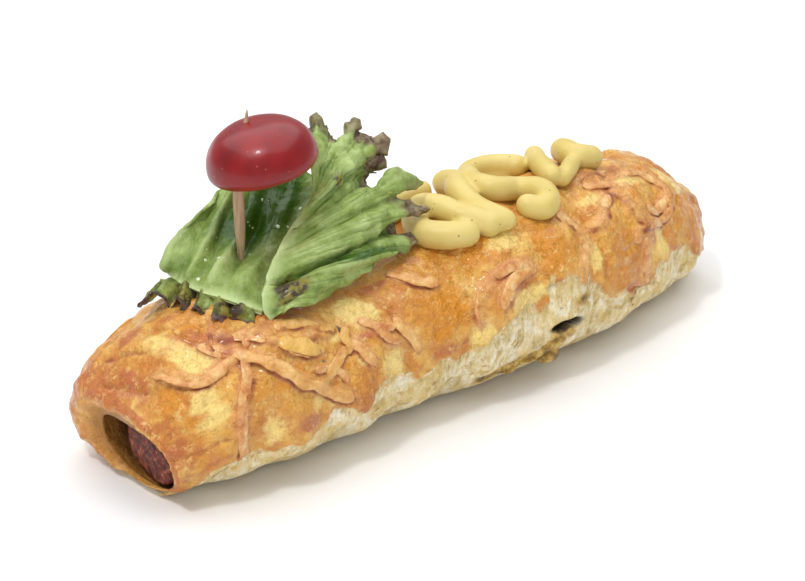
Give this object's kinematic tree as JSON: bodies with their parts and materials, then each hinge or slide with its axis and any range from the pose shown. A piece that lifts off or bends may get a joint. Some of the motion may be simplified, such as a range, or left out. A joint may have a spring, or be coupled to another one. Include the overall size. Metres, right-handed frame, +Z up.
{
  "type": "sausage roll",
  "caption": "Long baked sausage roll with cheese shreds on its crust, topped with curled lettuce, half a cherry tomato on a wooden stick and a piped zigzag of sauce.",
  "frame": {"origin": "on the table under the middle of the roll, on its flat underside", "axes": "+X along the roll from the wide open end that shows the sausage towards the narrow end, +Z up, -Y towards the front"},
  "size_m": [0.2177, 0.0644, 0.094],
  "materials": {
    "crust": "egg-glazed golden puff pastry with baked cheese, paler and flaky low on its sides",
    "sausage": "moist cooked sausage meat",
    "sauce": "smooth pale yellow sauce with tiny specks of herbs",
    "lettuce": "fresh curled lettuce leaf with pale ribs",
    "lettuce_edge": "brown and green frilled leaf edge",
    "tomato": "glossy dark red tomato skin",
    "wood": "plain pale wood"
  },
  "bodies": {
    "root": {"pastry": "crust", "filling": "sausage", "sauce": "sauce", "lettuce_fold": "lettuce", "lettuce_cup": "lettuce", "lettuce_frill": "lettuce_edge", "tomato": "tomato", "stick": "wood"}
  },
  "joints": []
}
